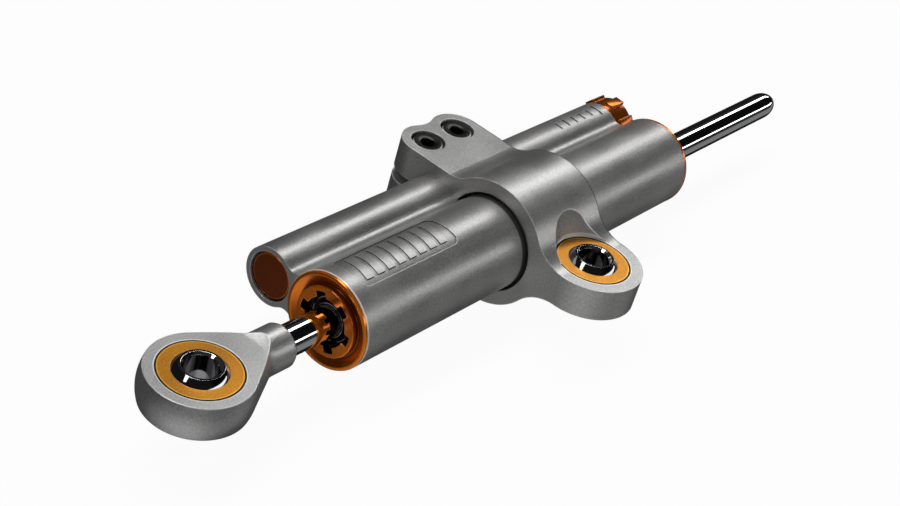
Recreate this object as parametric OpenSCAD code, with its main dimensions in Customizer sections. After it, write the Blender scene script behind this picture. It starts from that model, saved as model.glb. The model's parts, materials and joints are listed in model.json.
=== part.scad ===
// Through-rod motorcycle steering damper with a reservoir tube, an adjuster and a clamp.
// Origin: centre of the rod eye's ball. +X runs along the rod to the adjuster end,
// +Z is the axis of both bearing bores, and the clamp's lug points to -Y.

/* [Main cylinder] */
// Distance from the eye's centre to the front end of the body
eye_to_body = 42; // [40:0.5:60]
// Length of the body
body_len = 138; // [132:1:180]
// Outer diameter of the main cylinder
cyl_d = 25.3; // [25:0.1:27]
// Diameter of the bore that the piston runs in
bore_d = 20; // [18:0.1:20.6]
// Wall left outside an end cap's seat
cap_seat_wall = 1.05; // [0.8:0.05:1.2]
// Radius of the fillets between the two tubes
web_fillet = 3.2; // [2:0.1:4]
// Wall between the two tubes' widest bores
web_wall = 1.1; // [0.8:0.1:2]

/* [Reservoir tube] */
// Outer diameter of the reservoir tube
res_d = 15.6; // [15.4:0.1:17]
// Bore of the reservoir tube
res_bore_d = 13; // [12.6:0.1:13.4]
// Diameter of the oil ports between the tubes
port_d = 2; // [1:0.1:3]
// Distance from the body's front end to the front oil port
port_front = 23; // [20:0.5:26]
// Distance from the body's rear end to the rear oil port
port_rear = 22; // [18.5:0.5:23]

/* [Plain badge panel] */
// Length of the recessed panel
panel_len = 35.5; // [20:0.5:40]
// Width of the panel, across the cylinder
panel_w = 11.4; // [6:0.1:13]
// Distance from the body's front end to the panel
panel_from_front = 3.9; // [2:0.1:8]
// Turn of the panel from the top of the cylinder towards the reservoir
panel_turn = 3; // [0:0.5:6]
// Depth of the panel
panel_depth = 0.3; // [0.1:0.05:0.5]
// Corner radius of the panel
panel_corner = 2.2; // [0.5:0.1:3]
// Count of the slanted bars left standing in the panel
bar_count = 8; // [3:1:12]

/* [Index marks] */
// Count of the index marks on the reservoir tube
mark_count = 6; // [2:1:8]
// Distance between two index marks
mark_pitch = 3.8; // [3:0.1:4.5]
// Width of one mark
mark_w = 0.9; // [0.4:0.1:1.4]
// Depth of one mark
mark_depth = 0.25; // [0.1:0.05:0.4]

/* [Rod] */
// Diameter of the piston rod
rod_d = 8; // [7:0.1:8.4]
// Length of rod that shows behind the body
tail_len = 71.6; // [62:0.1:90]
// Length of the rod's rounded nose
nose_len = 6.6; // [2:0.1:10]
// Diameter of the threaded end in the rod eye
spigot_d = 6; // [4:0.1:6.5]
// Length of the threaded end
spigot_len = 12; // [8:0.5:12.5]

/* [Rod eye] */
// Diameter of the ball that the eye's head is turned as
eye_d = 27; // [26:0.1:28]
// Thickness of the eye and of the clamp's lug
eye_t = 9; // [7.5:0.1:9.8]
// Angle between the head's taper and the rod, in degrees
eye_taper = 29; // [27:0.5:33]
// Diameter of the eye's shank
shank_d = 11.2; // [10:0.1:12.5]
// Distance from the eye's centre to the end of the shank
shank_end = 26; // [24:0.1:30]
// Distance from the eye's centre to the end of the milled faces
milled_r = 19.9; // [19:0.1:21.5]
// Corner radius of the cutter that mills the faces
cutter_round = 5.5; // [3:0.1:6]
// Fillet between the head's taper and the shank
eye_fillet = 6; // [4:0.1:8]

/* [Spherical bearings] */
// Bore of the bearing ball
ball_bore_d = 8; // [6:0.1:8.5]
// Diameter of the bearing ball
ball_d = 15.875; // [15.4:0.005:16.4]
// Width of the bearing ball
ball_w = 12; // [11:0.1:12.5]
// Outer diameter of the bearing race
race_d = 19.96; // [19:0.02:20.5]
// Chamfer at the mouths of the ball's bore
ball_chamfer = 0.6; // [0.2:0.1:0.8]

/* [Clamp] */
// Width of the clamp, along the body
clamp_w = 27; // [26:0.1:32]
// Distance from the body's front end to the clamp
clamp_from_front = 61; // [48:0.5:70]
// Wall of the clamp's ring
ring_wall = 4.7; // [3.5:0.1:6]
// Wall between the lug's bearing seat and the body
lug_wall = 1.5; // [1:0.1:4]
// Radius of the fillets between ring and lug
lug_fillet = 12; // [6:0.1:13]
// Radius of the fillets between ring and ear
ear_fillet = 9; // [5:0.1:11]
// Wall of the ear above the reservoir tube
ear_wall = 3.6; // [3:0.1:5]
// Radius of the waist between the ear's two lobes
waist_r = 8; // [5:0.1:14]
// Width of the clamp's slit
slit_w = 2.8; // [1.4:0.1:3.4]
// Slope of the tool recess above the bearing, in degrees
recess_slope = 15; // [5:1:25]

/* [Clamp screws] */
// Distance between the two screws
screw_pitch = 12.4; // [11.5:0.1:13]
// Thread diameter of the screws
screw_d = 5; // [4:0.1:5.4]
// Length of a screw under its head
screw_len = 16; // [12:0.5:16.5]
// Diameter of a screw's head
screw_head_d = 8.5; // [7:0.1:9]
// Height of a screw's head
screw_head_h = 5; // [4:0.1:5]
// Depth that a head lies under the ear's face
screw_sink = 0.5; // [0.2:0.1:0.8]
// Key width of a screw's socket
screw_key = 4; // [3:0.1:4.4]

/* [End caps] */
// Thickness of a cap's flange
cap_flange_t = 0.65; // [0.5:0.05:1.5]
// Depth of a cap in the body
cap_depth = 15; // [15:0.1:16]
// Diameter of the raised disc on a cap
cap_disc_d = 18.1; // [17:0.1:18.6]
// Height of the raised disc over the flange
cap_disc_rise = 0.6; // [0.2:0.1:1]
// Depth of the ring groove in a cap's face
cap_groove_depth = 1.1; // [0.3:0.1:1.4]
// Width of one spanner notch
notch_w = 3; // [2:0.1:3.6]
// Distance from the axis to the end of a notch
notch_reach = 7.9; // [7.2:0.1:8.3]

/* [Rod seals and guides] */
// Diameter of the pocket for the wiper and the rod seal
seal_pocket_d = 12.8; // [12:0.1:13.6]
// Outer diameter of the rod's bushing
bushing_d = 10.8; // [10:0.1:11.6]
// Length of the rod's bushing
bushing_len = 7; // [5:0.1:7]
// Section of the caps' O-rings
cap_ring_section = 1.3; // [1:0.05:1.4]

/* [Piston] */
// Length of the body in front of the piston's middle, at rest
piston_front_len = 90; // [84:0.5:96]
// Length of the piston
piston_len = 12; // [8:0.5:13]
// Width of the piston ring
piston_ring_w = 3; // [1.5:0.1:4]
// Depth of the piston ring in the piston
piston_ring_t = 1.2; // [0.8:0.1:2]

/* [Adjuster] */
// Diameter of the knob's hub
knob_d = 15; // [13.5:0.1:15.2]
// Length of the knob's hub
knob_len = 7.6; // [6:0.1:12]
// Diameter over the knob's ribs
knob_rib_d = 18; // [16.5:0.1:18.4]
// Width of a rib's top
knob_rib_w = 1.5; // [1.4:0.1:3]
// Count of the knob's ribs
knob_ribs = 7; // [5:1:10]
// Diameter of the knob's stem
stem_d = 6; // [5.4:0.1:6.2]
// Thread diameter of the needle
needle_d = 3.9; // [3:0.1:4]
// Bore of the valve seat
seat_bore_d = 3; // [2.6:0.1:3.6]

/* [Reservoir parts] */
// Diameter of the reservoir plug's face
plug_face_d = 12.1; // [11.4:0.1:12.3]
// Depth of the plug's face in the tube
plug_sink = 0.5; // [0.2:0.1:0.8]
// Length of the separator piston
separator_len = 6; // [4:0.1:7]

/* [Hidden] */
$fn = 96;
eps = 0.5;
fit = 0.05;
slip = 0.03;
edge = 0.35;
// overlap of a fillet's circle with what it blends into
blend = 0.01;
// radii of the driving diameters
cyl_r = cyl_d / 2;
bore_r = bore_d / 2;
res_r = res_d / 2;
res_bore_r = res_bore_d / 2;
rod_r = rod_d / 2;
eye_r = eye_d / 2;
shank_r = shank_d / 2;
ball_r = ball_d / 2;
race_r = race_d / 2;
// the snap ring that holds the reservoir plug
snap_seat_r = res_bore_r + 0.45;
snap_t = 1;
// places along and across the body
cap_seat_r = cyl_r - cap_seat_wall;
tube_pitch = cap_seat_r + snap_seat_r + web_wall;
body_x0 = eye_to_body;
body_x1 = eye_to_body + body_len;
port_x0 = body_x0 + port_front;
port_x1 = body_x1 - port_rear;
// bearing seats and the clamp
bearing_seat_r = race_r + 0.02;
seat_chamfer = 0.1;
staking_w = 0.25;
staking_depth = 0.5;
clamp_fit = 0.05;
clamp_bore_r = cyl_r + clamp_fit;
ring_r = clamp_bore_r + ring_wall;
relief = 0.75;
relief_depth = 1.6;
slit_z = 0.8;
lug_y = clamp_bore_r + bearing_seat_r + lug_wall;
clamp_x0 = body_x0 + clamp_from_front;
clamp_mid = clamp_x0 + clamp_w / 2;
ear_h = res_r + ear_wall;
screw_hole_r = screw_d / 2 + 0.25;
screw_thread_r = screw_d / 2 - fit;
lobe_r = (clamp_w - screw_pitch) / 2;
screw_y = tube_pitch + res_r + clamp_fit + screw_hole_r + 0.15;
head_z = ear_h - screw_sink;
screw_seat_z = head_z - screw_head_h;
// end cap stack, measured from the body's end face inwards
cap_r = cyl_r - 0.15;
cap_spigot_r = cap_seat_r - fit;
cap_disc_r = cap_disc_d / 2;
cap_groove_r = cyl_r - 1.45;
pocket_r = seal_pocket_d / 2;
pocket_end = 7.2;
shoulder_end = pocket_end + 0.6;
bushing_r = bushing_d / 2;
cap_face = -cap_flange_t - cap_disc_rise;
notch_depth = 2.5;
notch_count = 6;
notch_turn = 6;
wiper_x = cap_face + notch_depth;
wiper_t = 2.2;
rod_seal_x = 4;
rod_seal_t = 3;
cap_ring_x = 10;
cap_ring_groove = cap_ring_section + fit * 2;
// rod and piston
piston_x = body_x0 + piston_front_len;
bleed_hole_r = 0.7;
bleed_holes = 4;
piston_r = bore_r - 0.1;
piston_ring_r = bore_r - slip;
clip_t = 1;
clip_groove = 0.5;
clip_reach = 1.5;
tail_end = body_x1 + tail_len;
// reservoir parts, from the front
plug_x = body_x0 + plug_sink;
snap_x = body_x0 + 0.7;
plug_shoulder = snap_x + snap_t + fit;
plug_len = 7;
plug_end = plug_x + plug_len;
plug_ring_x = plug_shoulder + 2;
separator_from_plug = 4.5;
separator_x = plug_end + separator_from_plug;
ring_section = 1.2;
ring_groove = 1.3;
// adjuster, from the rear end of the body
gland_x1 = body_x1 - fit;
gland_len = 13;
gland_x0 = gland_x1 - gland_len;
gland_ring_x = gland_x0 + 2;
// the stem's ring and the needle's end, behind the gland's inner end
stem_ring_in = 5;
needle_in = 8;
stem_ring_x = gland_x0 + stem_ring_in;
needle_end = gland_x0 + needle_in;
knob_x = body_x1 + cap_flange_t + 0.25;
stem_r = stem_d / 2;
stem_clip_t = 0.8;
stem_clip_x = gland_x0 - stem_clip_t - 0.2;
stem_x = stem_clip_x - 0.6;
needle_r = needle_d / 2;
// depth of the needle's hole past its end
needle_room = 2;
hex_r = needle_d / sqrt(3) + fit;
guide_t = 2;
// room between the needle's guide and the knob's stem, and from the seat to the port
guide_gap = 4.8;
seat_gap = 12;
guide_x = stem_x - guide_gap;
seat_t = 4;
seat_x = port_x1 - seat_gap;
knob_r = knob_d / 2;
knob_turn = -8.4;
knob_dish = 0.7;
key_slot_w = 1.2;
key_slot_depth = 1.6;
knob_face_chamfer = 0.8;
rib_r = knob_rib_d / 2;
detent_r = 1;
detent_ring_r = stem_r + 1.8;
detent_depth = 5;
detent_count = 12;
detent_turns = 4;
detent_steps = 12;

// Helpers

// a cylinder along X, from x to x + l
module rod_x(x, r, l) {
    translate([x, 0, 0])
        rotate([0, 90, 0])
            cylinder(r = r, h = l);
}

// a profile of [radius, x] points, turned about X
module turned(points) {
    rotate([0, 90, 0])
        rotate_extrude()
            polygon(points);
}

// a ring about X, with a square section
module ring_x(x, t, r_in, r_out) {
    turned([[r_in, x], [r_out, x], [r_out, x + t], [r_in, x + t]]);
}

// an O-ring about X
module o_ring(x, r_mid, section) {
    rotate([0, 90, 0])
        rotate_extrude()
            translate([r_mid, x])
                circle(d = section, $fn = 48);
}

// a drawing in Y and Z, drawn out along X
module along_x(x, l) {
    translate([x, 0, 0])
        rotate([90, 0, 90])
            linear_extrude(l)
                children();
}

// moves to the reservoir tube's axis
module at_reservoir() {
    translate([0, tube_pitch, 0])
        children();
}

// the hollow corner between a circle about the origin and the line y = h, towards +X
module corner(r, h, f) {
    reach = f - blend;
    cx = sqrt(pow(r + reach, 2) - pow(h + reach, 2));
    difference() {
        polygon([[0, 0], [cx, h + reach], [cx, 0]]);
        translate([cx, h + reach])
            circle(r = f);
    }
}

// Body

// both tubes and the web between them, from x to x + l, grown by e
module body_shape(x, l, e) {
    rod_x(x, cyl_r + e, l);
    at_reservoir()
        rod_x(x, res_r + e, l);
    along_x(x, l)
        web_section(e);
}

// section of the web, with a fillet in each corner between the tubes
module web_section(e) {
    f = web_fillet;
    a = cyl_r + f - blend;
    b = res_r + f - blend;
    cx = (pow(tube_pitch, 2) + a * a - b * b) / (2 * tube_pitch);
    cy = sqrt(a * a - cx * cx);
    difference() {
        polygon([[0, 0], [cx, cy], [tube_pitch, 0], [cx, -cy]]);
        for (s = [-1, 1])
            translate([cx, s * cy])
                circle(r = f - e);
    }
}

// plan of the badge panel, with its slanted bars left standing
module panel_plan() {
    inset = 1.5;
    bar_w = (panel_len - 2 * inset) / (bar_count * 1.6 + 0.6);
    slant = panel_w * 0.25;
    difference() {
        rounded_plan(panel_len, panel_w, panel_corner);
        intersection() {
            for (i = [0:bar_count - 1])
                translate([-panel_len / 2 + inset + bar_w * (0.6 + 1.6 * i), 0])
                    polygon([[-slant / 2, -panel_w], [bar_w - slant / 2, -panel_w],
                        [bar_w + slant / 2, panel_w], [slant / 2, panel_w]]);
            rounded_plan(panel_len - 2 * inset, panel_w - 2 * inset, panel_corner / 2);
        }
    }
}

module rounded_plan(l, w, r) {
    square([l - 2 * r, w], center = true);
    square([l, w - 2 * r], center = true);
    for (sx = [-1, 1], sy = [-1, 1])
        translate([sx * (l / 2 - r), sy * (w / 2 - r)])
            circle(r = r);
}

// the skin of a tube of radius r, d deep, where a plan drawn on top of it is cut
module skin_cut(r, d, x, l, turn) {
    rotate([-turn, 0, 0])
        intersection() {
            difference() {
                rod_x(x, r + eps, l);
                rod_x(x - eps, r - d, l + 2 * eps);
            }
            linear_extrude(r + 2 * eps)
                children();
        }
}

module index_marks() {
    mark_from_rear = 3.5;
    mark_len = 3;
    last_mark_len = 5;
    first = body_x1 - mark_from_rear - mark_pitch * (mark_count - 1);
    at_reservoir()
        skin_cut(res_r, mark_depth, first - mark_pitch / 2, mark_pitch * mark_count, 0)
            for (i = [0:mark_count - 1])
                translate([first + mark_pitch * i, 0])
                    square([mark_w, i == mark_count - 1 ? last_mark_len : mark_len], center = true);
}

module damper_body() {
    color("darkgray")
        difference() {
            body_shape(body_x0, body_len, 0);
            rod_x(body_x0 - eps, bore_r, body_len + 2 * eps);
            rod_x(body_x0 - eps, cap_seat_r, cap_depth + eps);
            rod_x(body_x1 - cap_depth, cap_seat_r, cap_depth + eps);
            at_reservoir() {
                rod_x(body_x0 - eps, res_bore_r, body_len + 2 * eps);
                rod_x(snap_x, snap_seat_r, snap_t + fit);
            }
            for (x = [port_x0, port_x1])
                translate([x, 0, 0])
                    rotate([-90, 0, 0])
                        cylinder(d = port_d, h = tube_pitch);
            skin_cut(cyl_r, panel_depth, body_x0 + 1, panel_len + 2 * panel_from_front, panel_turn)
                translate([body_x0 + panel_from_front + panel_len / 2, 0])
                    panel_plan();
            index_marks();
        }
}

// End caps, their seals and guides

module at_front() {
    translate([body_x0, 0, 0])
        children();
}

module at_rear() {
    translate([body_x1, 0, 0])
        mirror([1, 0, 0])
            children();
}

module end_cap() {
    groove_x = cap_groove_depth - cap_flange_t;
    color("chocolate")
        difference() {
            turned([[pocket_r, cap_face], [cap_disc_r - edge, cap_face],
                [cap_disc_r, cap_face + edge], [cap_disc_r, groove_x], [cap_groove_r, groove_x],
                [cap_groove_r, -cap_flange_t], [cap_r - edge, -cap_flange_t],
                [cap_r, edge - cap_flange_t], [cap_r, 0], [cap_spigot_r, 0],
                [cap_spigot_r, cap_depth], [bushing_r, cap_depth], [bushing_r, shoulder_end],
                [rod_r + 0.4, shoulder_end], [rod_r + 0.4, pocket_end], [pocket_r, pocket_end]]);
            ring_x(cap_ring_x, cap_ring_groove + fit, cap_spigot_r - cap_ring_groove, cyl_r);
            for (i = [0:notch_count - 1])
                rotate([notch_turn + 360 * i / notch_count, 0, 0])
                    translate([cap_face - eps, pocket_r - 1, -notch_w / 2])
                        cube([notch_depth + eps, notch_reach - pocket_r + 1, notch_w]);
        }
}

module cap_o_ring() {
    color("dimgray")
        o_ring(cap_ring_x + cap_ring_groove / 2 + fit / 2, cap_spigot_r - cap_ring_section / 2 - fit / 2,
            cap_ring_section);
}

module wiper_seal() {
    lip = rod_r + fit;
    back = wiper_x + wiper_t;
    color("black")
        turned([[lip, wiper_x - 1], [lip + 0.35, wiper_x - 1], [lip + 1.2, wiper_x + 0.1],
            [pocket_r - fit, wiper_x + 0.1], [pocket_r - fit, back], [lip + 0.6, back],
            [lip + 0.5, wiper_x + 0.5]]);
}

module rod_seal() {
    lip = rod_r + fit;
    back = rod_seal_x + rod_seal_t;
    color("black")
        turned([[lip + 0.3, rod_seal_x], [pocket_r - fit, rod_seal_x], [pocket_r - fit, back],
            [pocket_r - 0.6, back], [pocket_r - 0.9, back - 1.6], [lip + 0.9, back - 1.6],
            [lip + 0.5, back], [lip, back - 0.3]]);
}

module rod_bushing() {
    color("darkgoldenrod")
        ring_x(shoulder_end + fit, bushing_len, rod_r + slip, bushing_r - 0.02);
}

module front_end_cap() { at_front() end_cap(); }
module rear_end_cap() { at_rear() end_cap(); }
module front_cap_o_ring() { at_front() cap_o_ring(); }
module rear_cap_o_ring() { at_rear() cap_o_ring(); }
module front_wiper_seal() { at_front() wiper_seal(); }
module rear_wiper_seal() { at_rear() wiper_seal(); }
module front_rod_seal() { at_front() rod_seal(); }
module rear_rod_seal() { at_rear() rod_seal(); }
module front_rod_bushing() { at_front() rod_bushing(); }
module rear_rod_bushing() { at_rear() rod_bushing(); }

// Rod and piston

module piston_rod() {
    steps = 12;
    turns = [for (i = [0:steps - 1]) 90 * i / steps];
    nose = [for (a = turns) [rod_r * cos(a), tail_end - nose_len * (1 - sin(a))]];
    color("gainsboro")
        difference() {
            turned(concat(
                [[0, shank_end - spigot_len], [spigot_d / 2 - fit - 0.5, shank_end - spigot_len],
                    [spigot_d / 2 - fit, shank_end - spigot_len + 0.5], [spigot_d / 2 - fit, shank_end],
                    [rod_r - 0.3, shank_end], [rod_r, shank_end + 0.3]],
                nose, [[0, tail_end]]));
            for (x = clip_places())
                ring_x(x - fit / 2, clip_t + fit, rod_r - clip_groove, rod_r + 1);
        }
}

function clip_places() = [piston_x - piston_len / 2 - clip_t - fit, piston_x + piston_len / 2 + fit];

module piston() {
    hole_ring_r = (rod_r + piston_r - piston_ring_t) / 2;
    ring_seat_r = piston_ring_r - piston_ring_t - 0.1;
    color("silver")
        difference() {
            turned([[rod_r + 0.02, piston_x - piston_len / 2], [piston_r - 0.5, piston_x - piston_len / 2],
                [piston_r, piston_x - piston_len / 2 + 0.5], [piston_r, piston_x + piston_len / 2 - 0.5],
                [piston_r - 0.5, piston_x + piston_len / 2], [rod_r + 0.02, piston_x + piston_len / 2]]);
            ring_x(piston_x - piston_ring_w / 2 - fit, piston_ring_w + 2 * fit, ring_seat_r, bore_r + 1);
            for (i = [0:bleed_holes - 1])
                rotate([(i + 0.5) * 360 / bleed_holes, 0, 0])
                    translate([0, hole_ring_r, 0])
                        rod_x(piston_x - piston_len, bleed_hole_r, 2 * piston_len);
        }
}

module piston_ring() {
    color("saddlebrown")
        ring_x(piston_x - piston_ring_w / 2, piston_ring_w, piston_ring_r - piston_ring_t, piston_ring_r);
}

module piston_clips() {
    color("dimgray")
        for (x = clip_places())
            difference() {
                ring_x(x, clip_t, rod_r - clip_groove + 0.02, rod_r + clip_reach);
                translate([x - eps, 0, -0.8])
                    cube([clip_t + 2 * eps, rod_r + clip_reach + 1, 1.6]);
            }
}

// Rod eye and spherical bearings

// the eye before milling: a ball head whose taper runs into the shank, turned about X
module turned_eye() {
    sa = sin(eye_taper);
    ca = cos(eye_taper);
    start_r = eye_r - blend;
    reach = eye_fillet - blend;
    fillet_r = shank_r + reach;
    fillet_x = (start_r + reach - fillet_r * ca) / sa;
    sphere(r = eye_r);
    difference() {
        turned([[0, 0], [start_r * ca, start_r * sa], [fillet_r - reach * ca, fillet_x - reach * sa],
            [fillet_r, fillet_x], [0, fillet_x]]);
        rotate([0, 90, 0])
            rotate_extrude()
                translate([fillet_r, fillet_x])
                    circle(r = eye_fillet);
    }
    turned([[0, 0], [shank_r, 0], [shank_r, shank_end - 0.8], [shank_r - 0.3, shank_end - 0.2],
        [shank_r - 0.8, shank_end], [0, shank_end]]);
}

// what the round-cornered cutter takes off one side of the head, from the face upwards
module milling_cut() {
    rise = shank_r - eye_t / 2;
    run = sqrt(pow(cutter_round, 2) - pow(cutter_round - rise, 2));
    flat_r = milled_r - run;
    cylinder(r = flat_r, h = eye_r);
    translate([0, 0, cutter_round - blend])
        rotate_extrude()
            translate([flat_r, 0])
                circle(r = cutter_round);
}

// the seat of a bearing, with its small chamfers, open from face to face
module bearing_seat() {
    cylinder(r = bearing_seat_r, h = eye_t + 2 * eps, center = true);
    for (s = [0, 1])
        mirror([0, 0, s])
            translate([0, 0, eye_t / 2 - seat_chamfer])
                cylinder(r1 = bearing_seat_r, r2 = bearing_seat_r + seat_chamfer + eps,
                    h = seat_chamfer + eps);
}

module rod_eye() {
    color("darkgray")
        difference() {
            turned_eye();
            for (s = [0, 1])
                mirror([0, 0, s])
                    translate([0, 0, eye_t / 2])
                        milling_cut();
            bearing_seat();
            rod_x(shank_end - spigot_len - 0.4, spigot_d / 2, spigot_len + 1);
        }
}

// the race, with the staking groove round both of its faces
module bearing_race() {
    half = eye_t / 2;
    step = half - staking_depth;
    color("goldenrod")
        difference() {
            rotate_extrude()
                polygon([[ball_r - 2, -half], [race_r - staking_w, -half], [race_r - staking_w, -step],
                    [race_r, -step], [race_r, step], [race_r - staking_w, step],
                    [race_r - staking_w, half], [ball_r - 2, half]]);
            sphere(r = ball_r + fit);
        }
}

module bearing_ball() {
    rim_r = sqrt(ball_r * ball_r - ball_w * ball_w / 4);
    bore_r0 = ball_bore_d / 2;
    color("lightgray")
        difference() {
            intersection() {
                sphere(r = ball_r);
                cylinder(r = ball_r + 1, h = ball_w, center = true);
            }
            cylinder(d = ball_bore_d, h = ball_w + 2, center = true);
            for (s = [0, 1])
                mirror([0, 0, s])
                    translate([0, 0, ball_w / 2 - ball_chamfer])
                        cylinder(r1 = bore_r0, r2 = bore_r0 + ball_chamfer + eps, h = ball_chamfer + eps);
        }
}

module at_lug() {
    translate([clamp_mid, -lug_y, 0])
        children();
}

module rod_eye_race() { bearing_race(); }
module rod_eye_ball() { bearing_ball(); }
module clamp_race() { at_lug() bearing_race(); }
module clamp_ball() { at_lug() bearing_ball(); }

// Clamp

// the clamp along the body: ring, lug towards -Y and ear towards +Y, with their fillets
module clamp_lengthwise() {
    rod_x(clamp_x0, ring_r, clamp_w);
    translate([clamp_x0, -lug_y - clamp_w / 2, -eye_t / 2])
        cube([clamp_w, lug_y + clamp_w / 2, eye_t]);
    translate([clamp_x0, 0, -ear_h])
        cube([clamp_w, screw_y + lobe_r, 2 * ear_h]);
    for (s = [0, 1])
        mirror([0, 0, s]) {
            along_x(clamp_x0, clamp_w)
                corner(ring_r, ear_h, ear_fillet);
            mirror([0, 1, 0])
                along_x(clamp_x0, clamp_w)
                    corner(ring_r, eye_t / 2, lug_fillet);
        }
}

// the clamp from above: a round lug, straight flanks and a two-lobed ear
module clamp_upright() {
    half = screw_pitch / 2;
    reach = lobe_r + waist_r - blend;
    waist_y = screw_y + sqrt(reach * reach - half * half);
    tall = 2 * ring_r + 2;
    translate([clamp_x0, -lug_y, -tall / 2])
        cube([clamp_w, lug_y + screw_y, tall]);
    at_lug()
        cylinder(d = clamp_w, h = tall, center = true);
    at_screws()
        cylinder(r = lobe_r, h = tall, center = true);
    translate([clamp_mid, 0, 0])
        linear_extrude(tall, center = true)
            difference() {
                polygon([[-half, screw_y], [0, waist_y], [half, screw_y]]);
                translate([0, waist_y])
                    circle(r = waist_r);
            }
}

module clamp_bracket() {
    recess_h = ring_r;
    recess_r = bearing_seat_r + seat_chamfer;
    color("darkgray")
        difference() {
            intersection() {
                clamp_lengthwise();
                clamp_upright();
            }
            body_shape(clamp_x0 - eps, clamp_w + 2 * eps, clamp_fit);
            for (x = [clamp_x0 - eps, clamp_x0 + clamp_w - relief_depth])
                rod_x(x, clamp_bore_r + relief, relief_depth + eps);
            translate([clamp_x0 - eps, tube_pitch, slit_z - slit_w / 2])
                cube([clamp_w + 2 * eps, screw_y + lobe_r, slit_w]);
            at_lug() {
                bearing_seat();
                for (s = [0, 1])
                    mirror([0, 0, s])
                        translate([0, 0, eye_t / 2])
                            cylinder(r1 = recess_r, r2 = recess_r + recess_h * tan(recess_slope),
                                h = recess_h);
            }
            at_screws() {
                cylinder(r = screw_hole_r, h = ear_h);
                translate([0, 0, screw_seat_z])
                    cylinder(r = screw_head_d / 2 + 0.5, h = ear_h);
                translate([0, 0, -ear_h - eps])
                    cylinder(r = screw_d / 2, h = ear_h + 2 * eps);
            }
        }
}

module at_screws() {
    for (s = [-1, 1])
        translate([clamp_mid + s * screw_pitch / 2, screw_y, 0])
            children();
}

module clamp_screws() {
    head_r = screw_head_d / 2;
    color("black")
        at_screws()
            difference() {
                union() {
                    translate([0, 0, screw_seat_z - screw_len])
                        cylinder(r = screw_thread_r, h = screw_len + eps);
                    translate([0, 0, screw_seat_z])
                        cylinder(r = head_r, h = screw_head_h - 0.4);
                    translate([0, 0, head_z - 0.4])
                        cylinder(r1 = head_r, r2 = head_r - 0.4, h = 0.4);
                }
                translate([0, 0, head_z - screw_head_h / 2])
                    cylinder(r = screw_key / sqrt(3), h = screw_head_h, $fn = 6);
                translate([0, 0, head_z - 0.35])
                    cylinder(r1 = screw_key / 2, r2 = screw_key / 2 + 0.6, h = 0.6);
            }
}

// Reservoir

module reservoir_plug() {
    body_r = res_bore_r - fit;
    face_r = plug_face_d / 2;
    color("saddlebrown")
        at_reservoir()
            difference() {
                turned([[0, plug_x], [face_r - 0.3, plug_x], [face_r, plug_x + 0.3], [face_r, plug_shoulder],
                    [body_r, plug_shoulder], [body_r, plug_end], [0, plug_end]]);
                ring_x(plug_ring_x, ring_groove, body_r - ring_groove, res_bore_r + 1);
            }
}

module reservoir_plug_o_ring() {
    color("black")
        at_reservoir()
            o_ring(plug_ring_x + ring_groove / 2, res_bore_r - fit - ring_section / 2, ring_section);
}

module reservoir_snap_ring() {
    inner = plug_face_d / 2 + fit;
    color("black")
        at_reservoir()
            difference() {
                ring_x(snap_x + fit / 2, snap_t, inner, snap_seat_r - fit);
                translate([snap_x - eps, -1, -snap_seat_r - 1])
                    cube([snap_t + 2 * eps, 2, snap_seat_r]);
            }
}

module separator_piston() {
    body_r = res_bore_r - fit;
    x1 = separator_x + separator_len;
    color("silver")
        at_reservoir()
            difference() {
                turned([[0, separator_x + 1.5], [body_r - 2.5, separator_x + 1.5], [body_r - 2, separator_x],
                    [body_r - 0.3, separator_x], [body_r, separator_x + 0.3], [body_r, x1 - 0.3],
                    [body_r - 0.3, x1], [0, x1]]);
                ring_x(separator_x + separator_len / 2 - ring_groove / 2, ring_groove, body_r - ring_groove,
                    res_bore_r + 1);
            }
}

module separator_o_ring() {
    color("black")
        at_reservoir()
            o_ring(separator_x + separator_len / 2, res_bore_r - fit - ring_section / 2, ring_section);
}

// Adjuster

module valve_seat() {
    bore = seat_bore_d / 2;
    color("goldenrod")
        at_reservoir()
            turned([[bore, seat_x], [res_bore_r - fit, seat_x], [res_bore_r - fit, seat_x + seat_t],
                [bore + 1.5, seat_x + seat_t], [bore, seat_x + seat_t / 2]]);
}

module needle_guide() {
    color("goldenrod")
        at_reservoir()
            difference() {
                rod_x(guide_x, res_bore_r - fit, guide_t);
                rod_x(guide_x - eps, hex_r + fit, guide_t + 2 * eps, $fn = 6);
                for (a = [0:60:300])
                    rotate([a, 0, 0])
                        translate([0, res_bore_r - 1.8, 0])
                            rod_x(guide_x - eps, 0.6, guide_t + 2 * eps);
            }
}

module adjuster_needle() {
    tip = seat_bore_d / 2 - 0.2;
    cone_end = seat_x + seat_t - 0.5;
    hex_x0 = guide_x - 2;
    hex_x1 = stem_x - 1;
    color("silver")
        at_reservoir() {
            turned([[0, seat_x - 0.5], [0.4, seat_x - 0.5], [tip, cone_end], [tip, hex_x0], [0, hex_x0]]);
            rod_x(hex_x0, hex_r, hex_x1 - hex_x0, $fn = 6);
            rod_x(hex_x1, needle_r, needle_end - hex_x1);
        }
}

module adjuster_gland() {
    body_r = res_bore_r - fit;
    color("silver")
        at_reservoir()
            difference() {
                rod_x(gland_x0, body_r, gland_len);
                rod_x(gland_x0 - eps, stem_r + fit, gland_len + 2 * eps);
                ring_x(stem_ring_x, ring_groove, stem_r / 2, stem_r + fit + ring_groove);
                ring_x(gland_ring_x, ring_groove, body_r - ring_groove, res_bore_r + 1);
                translate([0, 0, detent_ring_r])
                    rod_x(gland_x1 - detent_depth, detent_r + fit, detent_depth + eps);
            }
}

module gland_o_ring() {
    color("black")
        at_reservoir()
            o_ring(gland_ring_x + ring_groove / 2, res_bore_r - fit - ring_section / 2, ring_section);
}

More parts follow.
